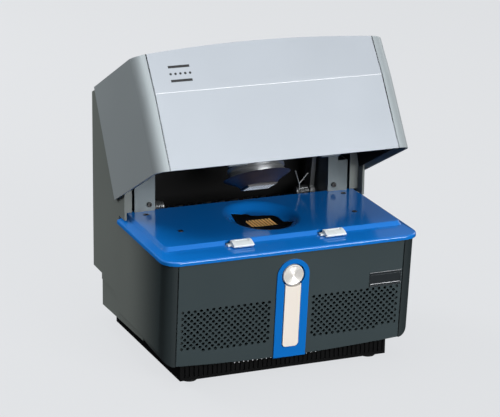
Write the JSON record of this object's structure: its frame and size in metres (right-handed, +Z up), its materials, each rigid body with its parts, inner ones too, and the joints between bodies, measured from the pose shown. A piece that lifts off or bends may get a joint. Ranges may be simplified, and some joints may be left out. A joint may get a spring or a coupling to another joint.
{
  "type": "thermal cycler",
  "caption": "Benchtop real-time thermal cycler with a hinged silver lid, blue glossy deck, gold sample block, perforated front and push-button latch.",
  "frame": {"origin": "on the bench, in the middle of the width and of the depth", "axes": "+X to the instrument's right as its user faces it, +Y to the back, +Z up"},
  "size_m": [0.345, 0.306, 0.4112],
  "materials": {
    "dark_plastic": "satin",
    "side_plastic": "satin",
    "panel_plastic": "satin",
    "blue_gloss": "gloss",
    "silver_paint": "satin metallic",
    "black_plastic": "matte",
    "rubber": "matte",
    "spun_aluminium": "turned",
    "pearl_bar": "satin",
    "white_plastic": "satin",
    "gold_block": "satin",
    "ceramic": "satin",
    "steel": "brushed",
    "zinc_sheet": "satin",
    "black_screw": "black oxide",
    "aluminium": "satin",
    "board": "satin",
    "red_plastic": "gloss",
    "badge": "satin",
    "dark_gloss": "gloss",
    "window": "clear"
  },
  "bodies": {
    "base": {"base_pan": "black_plastic", "plinth": "black_plastic", "rubber_feet": "rubber", "base_shell": "side_plastic", "chassis_skirt": "side_plastic", "chassis_deck": "zinc_sheet", "bulkhead": "black_plastic", "front_panel": "panel_plastic", "front_trim": "blue_gloss", "light_bar": "pearl_bar", "badge_plate": "badge", "deck_cover": "blue_gloss", "block_surround": "black_plastic", "thermal_block": "gold_block", "peltier_modules": "ceramic", "heat_sink": "aluminium", "fan_frame": "black_plastic", "rear_fan_frame": "black_plastic", "main_board": "board", "power_supply": "zinc_sheet", "bracket_left": "zinc_sheet", "bracket_right": "zinc_sheet", "bracket_screws": "black_screw", "deck_screws": "black_screw", "hinge_pins": "steel", "rear_housing": "side_plastic", "rear_panel": "dark_plastic", "socket_plate": "dark_plastic", "rear_panel_screws": "black_screw", "power_inlet": "black_plastic", "switch_frame": "black_plastic", "data_socket": "steel", "button_spring": "steel", "button_guide": "dark_plastic", "latch_springs": "steel", "wire_clip": "steel", "torsion_springs": "steel"},
    "lid": {"lid_panel": "silver_paint", "lid_cheek_left": "silver_paint", "lid_cheek_right": "silver_paint", "lid_liner": "black_plastic", "lid_arm_left": "steel", "lid_arm_right": "steel", "optics_housing": "black_plastic", "camera_module": "dark_plastic", "led_board": "board", "filter_motor": "steel", "plate_springs": "steel", "lid_strikers": "zinc_sheet", "lid_screws": "steel"},
    "button": {"release_button": "spun_aluminium"},
    "latch": {"latch_bar": "zinc_sheet", "latch_bolts": "white_plastic"},
    "fan_rotor": {"fan_rotor": "black_plastic"},
    "rear_fan_rotor": {"rear_fan_rotor": "black_plastic"},
    "power_switch": {"power_switch": "red_plastic"},
    "heated_lens": {"heated_plate": "window", "optics_hood": "dark_gloss", "guide_pins": "steel", "lens_ring": "aluminium"}
  },
  "joints": [
    {"name": "lid_hinge", "type": "hinge", "parent": "base", "child": "lid", "pos_m": [0, 0.075, 0.172], "axis": [1, 0, 0], "range_deg": [0, 27.8]},
    {"name": "button_push", "type": "slide", "parent": "base", "child": "button", "axis": [0, 0.9966, 0.0828], "range_m": [0, 0.004], "stiffness_N_per_m": 900, "springref_m": -0.003, "deforming": ["button_spring"]},
    {"name": "latch_slide", "type": "slide", "parent": "base", "child": "latch", "axis": [0, 1, 0], "range_m": [0, 0.004], "stiffness_N_per_m": 400, "springref_m": -0.003, "deforming": ["latch_springs"]},
    {"name": "fan_spin", "type": "hinge", "parent": "base", "child": "fan_rotor", "pos_m": [0, -0.035, 0.0974], "axis": [0, 0, 1], "continuous": true},
    {"name": "rear_fan_spin", "type": "hinge", "parent": "base", "child": "rear_fan_rotor", "pos_m": [-0.06, 0.13395, 0.225], "axis": [0, -1, 0], "continuous": true},
    {"name": "switch_rock", "type": "hinge", "parent": "base", "child": "power_switch", "pos_m": [0.055, 0.144, 0.122], "axis": [1, 0, 0], "range_deg": [0, 16]},
    {"name": "plate_press", "type": "slide", "parent": "lid", "child": "heated_lens", "axis": [0, 0.4664, 0.8846], "range_m": [0, 0.0091], "deforming": ["plate_springs"]}
  ],
  "couplings": [
    {"joint": "latch_slide", "follows": "button_push", "ratio": 1},
    {"joint": "plate_press", "follows": "lid_hinge", "m_per_rad": 0.01855}
  ]
}
